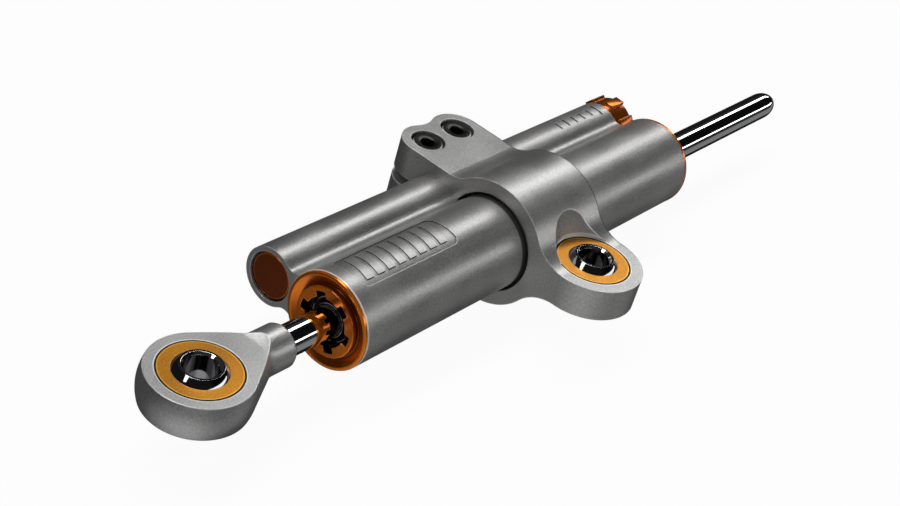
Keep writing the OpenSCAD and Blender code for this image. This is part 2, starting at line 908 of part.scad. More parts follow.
module stem_o_ring() {
    color("black")
        at_reservoir()
            o_ring(stem_ring_x + ring_groove / 2, stem_r + fit + ring_section / 2 + 0.04, ring_section);
}

module detent_ball() {
    color("lightgray")
        at_reservoir()
            translate([knob_x - detent_r - fit, 0, detent_ring_r])
                sphere(r = detent_r, $fn = 48);
}

// a small coil along X, one tube of wire with flat ends
module detent_spring() {
    wire = 0.16;
    mid = detent_r - wire - fit;
    x0 = gland_x1 - detent_depth + wire + fit;
    x1 = knob_x - 2 * detent_r - 2 * fit - wire;
    rings = detent_turns * detent_steps;
    sides = 6;
    points = [for (i = [0:rings], j = [0:sides - 1])
        let (a = 360 * i / detent_steps, b = 360 * j / sides, r = mid + wire * cos(b))
            [x0 + (x1 - x0) * i / rings + wire * sin(b), r * cos(a), r * sin(a)]];
    walls = [for (i = [0:rings - 1], j = [0:sides - 1])
        let (k = (j + 1) % sides)
            each [[i * sides + j, i * sides + k, (i + 1) * sides + k],
                [i * sides + j, (i + 1) * sides + k, (i + 1) * sides + j]]];
    first = [for (j = [sides - 1:-1:0]) j];
    last = [for (j = [0:sides - 1]) rings * sides + j];
    color("gray")
        at_reservoir()
            translate([0, 0, detent_ring_r])
                polyhedron(points, concat(walls, [first, last]));
}

module adjuster_knob() {
    face = knob_x + knob_len;
    rib_x = knob_x + 1.2;
    dish_r = knob_r - 2.6;
    color("chocolate")
        at_reservoir()
            difference() {
                union() {
                    turned([[0, stem_x], [stem_r, stem_x], [stem_r, knob_x], [knob_r - edge, knob_x],
                        [knob_r, knob_x + edge], [knob_r, face - knob_face_chamfer],
                        [knob_r - knob_face_chamfer, face], [0, face]]);
                    for (i = [0:knob_ribs - 1])
                        rotate([knob_turn + 360 * i / knob_ribs, 0, 0])
                            knob_rib(rib_x, face - 0.4 - rib_x);
                }
                rod_x(stem_x - eps, needle_r + fit, needle_end + needle_room - stem_x);
                ring_x(stem_clip_x, stem_clip_t + fit, stem_r - 0.5, stem_r + 1);
                rod_x(face - knob_dish, dish_r, 2);
                translate([face - key_slot_depth, 0.8 - dish_r, -key_slot_w / 2])
                    cube([2, 2 * dish_r - 1.6, key_slot_w]);
                for (i = [0:detent_count - 1])
                    rotate([360 * i / detent_count, 0, 0])
                        translate([knob_x - 0.65, 0, detent_ring_r])
                            sphere(r = detent_r + 0.1, $fn = 48);
            }
}

// one grip rib, stepped from a wide foot to a narrow top
module knob_rib(x, l) {
    foot = knob_rib_w + 1.6;
    step_r = (knob_r + rib_r) / 2 + 0.1;
    translate([x, knob_r - 1, -foot / 2])
        cube([l, step_r - knob_r + 1, foot]);
    translate([x, knob_r - 1, -knob_rib_w / 2])
        cube([l, rib_r - knob_r + 1, knob_rib_w]);
}

module knob_clip() {
    color("dimgray")
        at_reservoir()
            difference() {
                ring_x(stem_clip_x + fit / 2, stem_clip_t, stem_r - 0.48, stem_r + 1.2);
                translate([stem_clip_x - eps, 0, -0.6])
                    cube([stem_clip_t + 2 * eps, stem_r + 2, 1.2]);
            }
}

damper_body();
front_end_cap();
rear_end_cap();
front_cap_o_ring();
rear_cap_o_ring();
front_wiper_seal();
rear_wiper_seal();
front_rod_seal();
rear_rod_seal();
front_rod_bushing();
rear_rod_bushing();
piston_rod();
piston();
piston_ring();
piston_clips();
rod_eye();
rod_eye_race();
rod_eye_ball();
clamp_bracket();
clamp_race();
clamp_ball();
clamp_screws();
reservoir_plug();
reservoir_snap_ring();
reservoir_plug_o_ring();
separator_piston();
separator_o_ring();
valve_seat();
needle_guide();
adjuster_needle();
adjuster_gland();
gland_o_ring();
stem_o_ring();
adjuster_knob();
knob_clip();
detent_ball();
detent_spring();
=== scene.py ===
# %% [markdown]
# A motorcycle steering damper, dressed for its portrait.
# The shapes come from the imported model, which is loaded first and stays where it is. This file
# adds the camera, the studio, the finishes and the few pieces whose real surface is softer than a
# turned solid.

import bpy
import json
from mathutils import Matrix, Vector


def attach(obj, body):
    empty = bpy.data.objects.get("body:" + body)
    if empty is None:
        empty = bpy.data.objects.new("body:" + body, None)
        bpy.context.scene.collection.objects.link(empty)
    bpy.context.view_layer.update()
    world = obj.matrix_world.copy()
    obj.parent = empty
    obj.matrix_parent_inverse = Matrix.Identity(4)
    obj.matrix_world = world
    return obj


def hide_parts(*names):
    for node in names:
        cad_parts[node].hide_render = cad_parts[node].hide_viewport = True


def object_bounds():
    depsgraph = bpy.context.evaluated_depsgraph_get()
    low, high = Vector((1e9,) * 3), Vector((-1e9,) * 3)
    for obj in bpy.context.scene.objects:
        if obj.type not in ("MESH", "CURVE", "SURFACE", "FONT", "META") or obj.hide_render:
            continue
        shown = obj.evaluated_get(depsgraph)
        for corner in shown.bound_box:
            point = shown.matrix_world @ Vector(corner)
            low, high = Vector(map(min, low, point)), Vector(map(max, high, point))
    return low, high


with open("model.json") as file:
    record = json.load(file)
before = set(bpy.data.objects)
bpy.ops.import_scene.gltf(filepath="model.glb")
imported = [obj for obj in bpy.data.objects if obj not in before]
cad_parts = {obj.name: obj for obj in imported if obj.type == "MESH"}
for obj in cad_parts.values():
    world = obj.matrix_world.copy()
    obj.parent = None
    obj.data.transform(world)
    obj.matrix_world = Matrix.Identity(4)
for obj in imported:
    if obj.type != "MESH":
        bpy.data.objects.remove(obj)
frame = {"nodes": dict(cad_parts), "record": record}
cad_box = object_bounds()
print("model box", [round(v, 4) for corner in cad_box for v in corner])

# %% [markdown]
# Blender works in metres, and the damper is described in millimetres. The main tube lies along x
# with the rod eye's ball in the origin. These places are shared by the finishes and the pieces.

# %% Helpers and places on the damper
import json
import math

import bpy
from mathutils import Matrix, Vector

MM = 0.001
CENTRE = (0, 0, 0)
RESERVOIR = (0, 19.65, 0)
LUG = (116.5, -24.2, 0)
SCREW_Y = 30.4
SCREW_OFFSET = 6.2
FRONT_FACE = 42
REAR_FACE = 180
BODY_MIDDLE = 111
BALL_RADIUS = 7.9375
WHITE = (1, 1, 1, 1)

nodes = frame["nodes"]
for piece in bpy.context.selected_objects:
    piece.select_set(False)
print(len(nodes), "nodes, reservoir axis at y", RESERVOIR[1], "and lug bore at", LUG[:2])

# %% [markdown]
# The camera looks down over the rod eye towards the back of the damper, a little tilted, through a
# lens that is close enough to make the far end smaller. Its place was worked out from the circles
# of both bearings and both tubes. Three axes make its matrix, so the tilt needs no angles later.

# %% Camera
AZIMUTH = -1.0363
ELEVATION = 0.5873
ROLL = 0.2941
CAMERA_PLACE = (-0.22793, -0.18637, 0.24610)
FOCAL_LENGTH = 69.6
SENSOR_WIDTH = 36

back = Vector(
    (
        math.sin(AZIMUTH) * math.cos(ELEVATION),
        -math.cos(AZIMUTH) * math.cos(ELEVATION),
        math.sin(ELEVATION),
    )
)
level = (-back).cross(Vector((0, 0, 1))).normalized()
upright = level.cross(-back)
right = math.cos(ROLL) * level + math.sin(ROLL) * upright
up = -math.sin(ROLL) * level + math.cos(ROLL) * upright
lens = bpy.data.cameras.new("portrait_camera")
lens.lens = FOCAL_LENGTH
lens.sensor_width = SENSOR_WIDTH
lens.clip_start = 0.01
lens.clip_end = 50
camera = bpy.data.objects.new("portrait_camera", lens)
bpy.context.scene.collection.objects.link(camera)
camera_axes = Matrix((right, up, back)).transposed().to_4x4()
camera.matrix_world = Matrix.Translation(CAMERA_PLACE) @ camera_axes
bpy.context.scene.camera = camera
print("camera at", [round(v, 3) for v in camera.location])

# %% [markdown]
# Metal shows what stands round it. The real tubes carry one broad bright band on top, a softer one
# on the near side and darkness between, so the studio has two long soft boxes that run beside the
# damper. A box is placed by its angle round the damper's axis, which is the angle of its band. A
# short dim card low on the near side lights the undersides a little.


# %% Soft boxes
def soft_box(name, angle, spread, radiance, away=1.2, length=6.0, middle=1.2):
    """A long area light beside the damper, aimed at it, that fills `spread` degrees."""
    lamp = bpy.data.lights.new(name, "AREA")
    lamp.shape = "RECTANGLE"
    lamp.size = length
    lamp.size_y = 2 * away * math.tan(math.radians(spread / 2))
    lamp.energy = radiance * math.pi * lamp.size * lamp.size_y
    box = bpy.data.objects.new(name, lamp)
    bpy.context.scene.collection.objects.link(box)
    out = Vector((0, math.cos(math.radians(angle)), math.sin(math.radians(angle))))
    along = Vector((1, 0, 0))
    facing = Matrix((along, out.cross(along), out)).transposed().to_4x4()
    box.matrix_world = Matrix.Translation(out * away + along * middle) @ facing
    box.visible_camera = False
    print(name, "fills", spread, "degrees,", round(lamp.energy, 1), "W")


soft_box("upper_soft_box", angle=71.2, spread=16, radiance=4.8)
soft_box("near_soft_box", angle=159.6, spread=10.5, radiance=3.0)
soft_box("low_card", angle=-145, spread=30, radiance=0.1, length=1.1, middle=0.45)

# %% [markdown]
# The greys of the room and the marks of the finishes are sums over a direction or a place. A small
# class lets nodes be written as sums, and a few functions cut ranges out of them.


# %% Nodes as sums
class Wire:
    """A socket of a node tree that can be added, multiplied and handed to other nodes."""

    def __init__(self, tree, socket=None):
        self.tree = tree
        self.socket = socket

    def add(self, kind, settings=None, values=None, output=0):
        """Adds one node: its settings first, then the values or links of its sockets."""
        node = self.tree.nodes.new("ShaderNode" + kind)
        for key, value in (settings or {}).items():
            if key == "stops":
                fill_ramp(node.color_ramp, value)
            else:
                setattr(node, key, value)
        for key, value in (values or {}).items():
            if isinstance(value, Wire):
                self.tree.links.new(value.socket, node.inputs[key])
            else:
                node.inputs[key].default_value = value
        return Wire(self.tree, node.outputs[output] if node.outputs else None)

    def math(self, operation, first, second=0.0):
        return self.add("Math", {"operation": operation}, {0: first, 1: second})

    def vector(self, operation, other=None, output=0):
        """One step of vector arithmetic with this wire and perhaps a second vector."""
        values = {0: self} if other is None else {0: self, 1: other}
        return self.add("VectorMath", {"operation": operation}, values, output)

    def __add__(self, other):
        return self.math("ADD", self, other)

    def __sub__(self, other):
        return self.math("SUBTRACT", self, other)

    def __rsub__(self, other):
        return self.math("SUBTRACT", other, self)

    def __mul__(self, other):
        return self.math("MULTIPLY", self, other)

    def __truediv__(self, other):
        return self.math("DIVIDE", self, other)

    def axis(self, name):
        """The X, Y or Z part of a vector."""
        return self.add("SeparateXYZ", None, {0: self}, output=name)

    def dot(self, other):
        return self.vector("DOT_PRODUCT", other, "Value")

    def length(self):
        return self.vector("LENGTH", output="Value")

    def direction(self):
        return self.vector("NORMALIZE")

    def clamped(self):
        return self.add("Clamp", None, {"Value": self})


def fill_ramp(ramp, stops):
    """Gives a ramp its stops, each a place and a grey."""
    while len(ramp.elements) > 1:
        ramp.elements.remove(ramp.elements[0])
    for number, (place, grey) in enumerate(stops):
        stop = ramp.elements[0] if number == 0 else ramp.elements.new(place)
        stop.position = place
        stop.color = (grey, grey, grey, 1)


def ranged(wire, low, high, to_low=0.0, to_high=1.0, smooth=False):
    """Stretches a range of a wire to another and holds it at both ends."""
    settings = {"interpolation_type": "SMOOTHSTEP"} if smooth else None
    return wire.add("MapRange", settings, {0: wire, 1: low, 2: high, 3: to_low, 4: to_high})


def blended(mask, low, high):
    """One colour where the mask is 0 and another where it is 1, each a wire or a plain colour."""
    low, high = [end if isinstance(end, Wire) else (*end, 1) for end in (low, high)]
    return mask.add("Mix", {"data_type": "RGBA"}, {0: mask, 6: low, 7: high}, output=2)


print("sums on wires ready")

# %% [markdown]
# The room only fills the shadows. Beyond the damper it is black but for a grey wall low on the
# near side, which the chromed rod shows as a grey band, a thin line low on the far side and a faint
# glow round the upper soft box. In front of the damper and below it lies a round pale card,
# brightest in its middle, which lights every face that looks forward. The picture's ground is
# white, so the camera alone sees a white room. The greys go once round the damper's axis.

# %% Room
BEYOND_GREYS = [
    (0.000, 0.02),
    (0.020, 0.03),
    (0.035, 0.18),
    (0.150, 0.22),
    (0.172, 0.06),
    (0.190, 0.008),
    (0.375, 0.006),
    (0.388, 0.05),
    (0.400, 0.05),
    (0.412, 0.012),
    (0.60, 0.01),
    (0.64, 0.04),
    (0.73, 0.02),
    (0.76, 0.004),
    (0.90, 0.004),
    (0.93, 0.01),
    (1.00, 0.02),
]
CARD_GREYS = [
    (0.00, 0.02),
    (0.50, 0.02),
    (0.58, 0.05),
    (0.65, 0.20),
    (0.70, 0.27),
    (0.78, 0.27),
    (0.87, 0.42),
    (0.93, 0.70),
    (1.00, 0.74),
]
CARD_MIDDLE = (-0.5, -0.3, -0.81)

room = bpy.data.worlds.new("room")
bpy.context.scene.world = room
room.use_nodes = True
room.node_tree.nodes.clear()
start = Wire(room.node_tree)
direction = start.add("TexCoord", output="Generated")
round_damper = start.math("ARCTAN2", direction.axis("Z"), direction.axis("Y"))
turn_share = round_damper / (2 * math.pi) + 0.5
beyond = start.add("ValToRGB", {"stops": BEYOND_GREYS}, {0: turn_share})
card = start.add("ValToRGB", {"stops": CARD_GREYS}, {0: direction.dot(CARD_MIDDLE)})
in_front = ranged(direction.axis("X"), 0.45, -0.15, smooth=True)
seen = start.add("LightPath", output="Is Camera Ray")
dim = start.add("Background", None, {"Color": blended(in_front, beyond, card)})
white = start.add("Background", None, {"Color": WHITE})
both = start.add("MixShader", None, {0: seen, 1: dim, 2: white})
start.add("OutputWorld", None, {"Surface": both})
print("room has", len(BEYOND_GREYS), "greys beyond and", len(CARD_GREYS), "in front")

# %% [markdown]
# The floor is a plain pale sheet under the damper. It glows a little, so that it stays as white as
# in the picture and keeps only the softest shadow, and the metal doesn't see it, because in the
# picture the underside of every part is dark.

# %% Floor
FLOOR_SIZE = 8
FLOOR_GAP = 0.0002
MATT_SHARE = 0.05

bpy.ops.mesh.primitive_plane_add(size=FLOOR_SIZE, location=(0, 0, cad_box[0].z - FLOOR_GAP))
floor = bpy.context.object
floor.name = "floor"
floor.visible_glossy = False
floor.visible_diffuse = False
floor.visible_shadow = False
paper = bpy.data.materials.new("pale_floor")
paper.use_nodes = True
paper.node_tree.nodes.clear()
start = Wire(paper.node_tree)
glow = start.add("Emission", None, {"Color": WHITE, "Strength": 1.0})
matt = start.add("BsdfDiffuse", None, {"Color": (0.9, 0.9, 0.9, 1)})
sheet = start.add("MixShader", None, {0: MATT_SHARE, 1: glow, 2: matt})
start.add("OutputMaterial", None, {"Surface": sheet})
floor.data.materials.append(paper)
print("floor at", round(floor.location.z, 5))

bpy.context.scene.view_settings.view_transform = "Standard"
bpy.context.scene.view_settings.look = "None"

# %% [markdown]
# A mark on a finish lies at its own distance from an axis, or between two planes across the
# damper. Walls are found by how far a face leans away from the tube's own outward direction.

# %% Where a mark lies
ROUND_X = (0, 1, 1)
ROUND_Z = (1, 1, 0)


def place_on(start):
    """Where a point lies on its piece, in metres."""
    return start.add("TexCoord", output="Object")


def arm(start, centre, keep):
    """The arm out to a point from an axis through `centre`, square to the axis."""
    shift = place_on(start).vector("SUBTRACT", [c * MM for c in centre])
    return shift.vector("MULTIPLY", keep)


def distance(start, centre, keep):
    """How far a point is from an axis through `centre`."""
    return arm(start, centre, keep).length()


def further(wire, limit, soft):
    """1 above a limit in millimetres, 0 below it by `soft` or more."""
    return ranged(wire, (limit - soft) * MM, limit * MM)


def nearer(wire, limit, soft):
    """1 below a limit in millimetres, 0 above it by `soft` or more."""
    return ranged(wire, (limit + soft) * MM, limit * MM)


def between(wire, low, high, soft=0.05):
    """1 where a distance in metres lies between two values in millimetres, with soft ends."""
    return further(wire, low, soft) * nearer(wire, high, soft)


def leaning(start, out):
    """1 where a face is square to the outward direction, 0 where it faces it."""
    return ranged(start.add("NewGeometry", output="Normal").dot(out), 0.97, 0.75)


print("marks are placed round x and round z")

# %% [markdown]
# Every metal here is finished by the same few marks at different strengths: a fine grain, patches
# that are a little rougher, and edges that are rounded, worn and painted bright as a highlight. The
# edge comes from Blender's Bevel node, which feels for a nearby face and turns the normal towards
# it.


# %% Start of a finish
def new_finish(name, **fixed):
    """A material with its shader's plain values set, and a wire to start from."""
    material = bpy.data.materials.new(name)
    material.use_nodes = True
    shader = material.node_tree.nodes["Principled BSDF"]
    for key, value in fixed.items():
        shader.inputs[key.replace("_", " ")].default_value = value
    return material, shader, Wire(material.node_tree)


def feed(shader, **wires):
    """Leads wires to a shader's sockets."""
    for key, wire in wires.items():
        wire.tree.links.new(wire.socket, shader.inputs[key.replace("_", " ")])


def speckle(start, size, detail=2.0):
    """Noise with features of about `size` millimetres."""
    scale = (1 / (size * MM),) * 3
    spread = start.add("Mapping", None, {"Vector": place_on(start), "Scale": scale})
    return start.add("TexNoise", None, {"Vector": spread, "Scale": 1.0, "Detail": detail})


def edges(start, radius):
    """The rounded normal within `radius` millimetres of an edge, and how far it has turned."""
    rounded = start.add("Bevel", {"samples": 6}, {"Radius": radius * MM})
    same = rounded.dot(start.add("NewGeometry", output="Normal"))
    return rounded, ranged(1 - same, 0.006, 0.09)


print("grain and edges ready")

# %% [markdown]
# In the wear of an edge the skin is gone, so the metal is brighter and a little smoother there. The
# edge is also painted as less metallic, so that it glows evenly instead of mirroring the dark room:
# a painted highlight on top of the wear.

# %% Metal finish
PATCH_SIZE = 16
CHIP_SIZE = 1.5
BUMP_HEIGHT = 0.05 * MM
WEAR_AND_GLINT_METALLIC = 0.1


def metal(
    name,
    colour,
    rough,
    grain=0.5,
    depth=0.8,
    radius=0.3,
    wear_and_glint_colour=None,
    metallic=0.78,
    cast=0.72,
    bright=None,
):
    """A machined metal: its grain size and depth, and how its edges are rounded, worn and painted
    bright.

    `cast` darkens its patches, and `bright` is a function whose mask is painted bright as a worn
    edge is.
    """
    material, shader, start = new_finish(name, Metallic=metallic)
    rounded, turned = edges(start, radius)
    fine = speckle(start, grain, 3)
    broad = speckle(start, PATCH_SIZE, 2)
    chips = ranged(speckle(start, CHIP_SIZE, 3), 0.40, 0.55, 0.6, 1.0)
    # Edge wear and painted highlight: worn edges are painted brighter, and less metallic so that
    # they glow evenly.
    edge_wear_and_glint = turned * chips
    if bright:
        edge_wear_and_glint = (edge_wear_and_glint + bright(start)).clamped()
    wear_and_glint_colour = wear_and_glint_colour or tuple(min(0.97, c * 1.5 + 0.24) for c in colour)
    darker = tuple(c * cast for c in colour)
    patch = ranged(broad * 0.35 + fine * 0.65, 0.38, 0.62)
    base = blended(edge_wear_and_glint, blended(patch, darker, colour), wear_and_glint_colour)
    lumps = {"Strength": depth, "Distance": BUMP_HEIGHT, "Height": fine, "Normal": rounded}
    mottled = ranged(broad + fine * 0.5, 0.5, 1.0, rough * 0.88, rough * 1.15)
    roughness = mottled - edge_wear_and_glint * rough * 0.3
    feed(shader, Base_Color=base, Roughness=roughness, Normal=start.add("Bump", None, lumps))
    if 0 < metallic < 1:
        feed(shader, Metallic=ranged(edge_wear_and_glint, 0.0, 1.0, metallic, WEAR_AND_GLINT_METALLIC))
    return material, shader, start, base


def kept(made):
    """Only the material of what a finish returns."""
    return made[0]


finishes = {
    "chrome": kept(
        metal("chrome", (0.84, 0.85, 0.86), 0.03, depth=0.0, radius=0.15, metallic=1.0, cast=0.97)
    ),
    "spring_steel": kept(metal("spring_steel", (0.10, 0.10, 0.10), 0.3, radius=0.1)),
    "bronze": kept(metal("bronze", (0.55, 0.33, 0.14), 0.4, radius=0.1)),
    "plain_aluminium": kept(metal("plain_aluminium", (0.75, 0.75, 0.76), 0.33, radius=0.2)),
    "bright_steel": kept(metal("bright_steel", (0.6, 0.6, 0.61), 0.2, radius=0.15)),
}
own_finish = {}
print("finishes:", ", ".join(finishes))

# %% [markdown]
# The body is one extruded tube pair, bead blasted, so its satin grain is the same all round. The
# badge panel is milled a little into it, and painted shade darkens the walls and floors of its bars
# and of the index marks. A narrow painted shadow lies against each side of the clamp, and the
# chamfer round the front cap is painted bright as a highlight.


# %% Body
def front_rim_highlight(start):
    """1 on the chamfer round the front cap, which is painted bright as a highlight."""
    chamfer = between(distance(start, CENTRE, ROUND_X), 12.5, 12.75, 0.08)
    return between(place_on(start).axis("X"), 41.8, 42.3, 0.12) * chamfer


def body_finish():
    """Blasted aluminium with painted shade in the panel, in the marks and beside the clamp."""
    grey = (0.465, 0.462, 0.455)
    made = metal("body_metal", grey, 0.375, radius=0.25, metallic=0.71, bright=front_rim_highlight)
    material, shader, start, base = made
    place = place_on(start)
    along = place.axis("X")
    inside = between(along, 42.6, 179.4)
    top = further(place.axis("Z"), 5.0, 1.0)
    main = arm(start, CENTRE, ROUND_X)
    far = main.length()
    near_main = between(far, 12.28, 12.75)
    wall = leaning(start, main.direction()) * near_main
    panel_floor = nearer(far, 12.5, 0.12) * near_main
    # Painted shadows against the front and the rear of the clamp.
    shade_before_clamp = between(along, 101.9, 103.4, 0.5) * nearer(far, 12.75, 0.35)
    shade_behind_clamp = between(along, 129.9, 130.3, 0.12)
    small = arm(start, RESERVOIR, ROUND_X)
    far = small.length()
    near_small = between(far, 7.38, 7.95)
    marks = leaning(start, small.direction()) * near_small
    sunk = nearer(far, 7.66, 0.12) * near_small
    # The painted shade of walls, floors and both sides of the clamp is summed here.
    painted_shade = wall * 0.85 + panel_floor * 0.15 + marks * 0.85 + sunk * 0.45
    painted_shade = painted_shade.clamped() * inside * top + shade_before_clamp * 0.8 + shade_behind_clamp * 0.75
    feed(shader, Base_Color=blended(painted_shade.clamped(), base, (0.02, 0.019, 0.018)))
    return material


finishes["body_metal"] = body_finish()
print("body_metal made")

# %% [markdown]
# The clamp is blasted too, and the eye is turned and then milled flat. Between each of them and its
# bearing race runs a narrow ring where the race was staked, painted black as painted shade, with a
# painted highlight as its bright edge. The clamp's mouth stands a little off the body, and its gap
# is painted black as well, a painted shadow, as is the clamp's rear edge.

# %% Clamp and eye
PAINTED_SHADE_BLACK = (0.01, 0.009, 0.008)
PAINTED_GLINT_GREY = (0.93, 0.93, 0.92)


def clamp_finish():
    """Blasted aluminium with painted shade in the staked ring, in the mouth and at the rear edge."""
    grey = (0.51, 0.507, 0.498)
    material, shader, start, base = metal("clamp_metal", grey, 0.365, radius=0.42)
    far = distance(start, LUG, ROUND_Z)
    # Painted highlight just outside the race; painted shade in the ring, the mouth's gap and the
    # rear edge.
    glint = between(far, 10.2, 10.4, 0.06)
    ring = between(far, 9.9, 10.12, 0.06)
    mouth = nearer(distance(start, CENTRE, ROUND_X), 13.45, 0.2)
    rear = further(place_on(start).axis("X"), 129.75, 0.2)
    dark = (ring + mouth + rear * 0.8).clamped()
    base = blended(glint * 0.6, base, PAINTED_GLINT_GREY)
    feed(shader, Base_Color=blended(dark * 0.93, base, PAINTED_SHADE_BLACK))
    return material


def eye_finish():
    """Milled aluminium with the same painted shade in the staked ring and a painted highlight beside
    it.
    """
    material, shader, start, base = metal("eye_metal", (0.50, 0.50, 0.497), 0.35, radius=0.42)
    far = distance(start, CENTRE, ROUND_Z)
    # Painted highlight just outside the race and painted shade in the ring.
    glint = between(far, 10.16, 10.36, 0.06)
    ring = between(far, 9.9, 10.08, 0.06)
    base = blended(glint * 0.6, base, PAINTED_GLINT_GREY)
    feed(shader, Base_Color=blended(ring * 0.9, base, PAINTED_SHADE_BLACK))
    return material


finishes["clamp_metal"] = clamp_finish()
finishes["eye_metal"] = eye_finish()
print("clamp_metal and eye_metal made")

# %% [markdown]
# Each race is a turned ring of golden bronze. The staking groove near its rim is painted black as
# painted shade, and just inside it a bright line is a painted highlight. Both follow the distance
# from the race's own axis, so each race gets its own finish with its own centre.


# %% Races
def race_finish(name, centre):
    """Golden bronze with painted shade in the groove and a painted highlight line inside it."""
    material, shader, start, base = metal(name, (0.66, 0.275, 0.024), 0.33, radius=0.12)
    far = distance(start, centre, ROUND_Z)
    # Painted shade in the groove and a painted highlight line inside it.
    groove = between(far, 9.72, 10.2, 0.06)
    line = between(far, 9.4, 9.62, 0.05)
    base = blended(groove * 0.95, base, (0.01, 0.006, 0.004))
    feed(shader, Base_Color=blended(line * 0.6, base, (0.95, 0.50, 0.08)))
    return material


finishes["race_metal"] = race_finish("eye_race_metal", CENTRE)
own_finish["clamp_race"] = race_finish("clamp_race_metal", LUG)
print("race finishes made")

# %% [markdown]
# The seals are nitrile rubber: black, with a fine skin, and with painted highlights in patches on
# the bead and the lip. Rubber isn't a metal, so its colour is its own and its gloss a faint grey.
# The same recipe serves, with no metal in it.


# %% Rubber
def rubber_finish():
    """Black rubber with two painted highlight rings round the rod, broken into patches."""
    black = (0.006, 0.006, 0.006)
    made = metal("seal_rubber", black, 0.3, grain=0.2, metallic=0.0, wear_and_glint_colour=(0.04, 0.04, 0.04))
    material, shader, start, base = made
    shader.inputs["Specular IOR Level"].default_value = 0.12
    far = distance(start, CENTRE, ROUND_X)
    # Painted highlights: two pale rings on the lip and the bead, broken into patches.
    lip_highlights = between(far, 5.64, 5.78, 0.04) + between(far, 4.28, 4.4, 0.04)
    patchy = ranged(speckle(start, 3.0), 0.42, 0.58)
    feed(shader, Base_Color=blended(lip_highlights.clamped() * patchy, base, (0.55, 0.56, 0.58)))
    return material


finishes["seal_rubber"] = rubber_finish()
print("seal_rubber made")

# %% [markdown]
# The balls are bearing steel with a thin dark chrome. Their bores are honed, so they mirror the
# lamps as thin upright lines, and the bore's colour is a little darker, a painted shade. The chamfer
# at each mouth is painted bright, a painted highlight that makes it the brightest ring of all.
# Object coordinates go with a ball when it tilts, so the rings stay where they are.


# %% Balls
def ball_finish(name, centre):
    """Dark chrome, painted shade in the bore and a painted highlight on the chamfer at its mouth."""
    dark = (0.30, 0.30, 0.31)
    made = metal(name, dark, 0.05, depth=0.01, radius=0.12, metallic=1.0, cast=0.95)
    material, shader, start, base = made
    far = distance(start, centre, ROUND_Z)
    # Painted shade in the bore and a painted highlight on the chamfer.
    base = blended(nearer(far, 4.02, 0.03), base, (0.28, 0.28, 0.29))
    base = blended(between(far, 4.08, 4.68, 0.05), base, (0.9, 0.9, 0.9))
    feed(shader, Base_Color=base)
    return material


own_finish["rod_eye_ball"] = ball_finish("eye_ball_chrome", CENTRE)
own_finish["clamp_ball"] = ball_finish("clamp_ball_chrome", LUG)
print("ball finishes made")

# %% [markdown]
# The screws are black with an oiled oxide skin. A thin bright arc is painted on the rim of each
# head, on the side facing -x and -y: a painted highlight. Folding the x coordinate about the clamp's
# middle lets one finish serve both screws.


# %% Black oxide
def screw_finish():
    """Black oxide with a painted highlight arc round each head."""
    black = (0.035, 0.034, 0.033)
    made = metal("black_oxide", black, 0.3, depth=0.3, radius=0.12, wear_and_glint_colour=(0.16, 0.16, 0.16))
    material, shader, start, base = made
    place = place_on(start)
    across = place.axis("Y") - SCREW_Y * MM
    along = place.axis("X") - LUG[0] * MM
    folded = start.math("ABSOLUTE", along) - SCREW_OFFSET * MM
    far = start.math("SQRT", folded * folded + across * across)
    facing = start.add("NewGeometry", output="Normal")
    side = facing.axis("Y") + facing.axis("X")
    # Painted highlight: a bright arc on the head's rim, on the side facing -x and -y.
    head_rim_highlight = between(far, 3.86, 4.14, 0.05) * ranged(side, 0.3, -0.2)
    base = blended(head_rim_highlight, base, (0.85, 0.85, 0.84))
    feed(shader, Base_Color=base, Metallic=ranged(head_rim_highlight, 0.0, 1.0, 0.82, WEAR_AND_GLINT_METALLIC))
    return material


finishes["black_oxide"] = screw_finish()
print("black_oxide made")

# %% [markdown]
# The caps, the plug and the knob are aluminium with an orange anodised skin. The dye is thin, so the
# metal shines through it. The groove of the caps' faces and the pocket round the seal are darkened
# with painted shade, and the outer rim is painted brighter, a painted highlight. The lathe's rings
# throw light in two fans, and this is painted as well: a cap's face is painted darker in two
# opposite quarters. The plug is painted dark brown, a painted shade for its sunk face, with an
# orange line round its rim.


# %% Orange anodised aluminium
def orange_finish():
    """Orange dye for the caps, with painted shade in the groove, pocket and two quarters, and a
    painted highlight on the rim.
    """
    orange = (0.80, 0.20, 0.013)
    wear_and_glint_orange = (0.98, 0.34, 0.03)
    made = metal("orange_anodised", orange, 0.23, depth=0.1, radius=0.25, wear_and_glint_colour=wear_and_glint_orange, cast=0.9)
    material, shader, start, base = made
    from_middle = start.math("ABSOLUTE", place_on(start).axis("X") - BODY_MIDDLE * MM)
    sunk = nearer(from_middle, 69.8, 0.2)
    out = arm(start, CENTRE, ROUND_X)
    far = out.length()
    # Painted shade in the groove, the pocket and two opposite quarters, and a painted highlight on
    # the rim.
    groove = between(far, 9.15, 9.75, 0.1)
    pocket = nearer(far, 8.0, 0.1)
    fans = out.direction().axis("Y") * 2 * out.direction().axis("Z")
    shade = ranged(fans, 0.5, -1.0) * nearer(far, 11.2, 0.2) * 0.7
    base = blended(shade, base, (0.30, 0.055, 0.004))
    base = blended(further(far, 11.7, 0.1) * sunk, base, (0.94, 0.25, 0.018))
    base = blended(groove * sunk * 0.8, base, (0.07, 0.012, 0.002))
    base = blended(pocket * sunk * 0.96, base, (0.006, 0.004, 0.003))
    feed(shader, Base_Color=base)
    return material


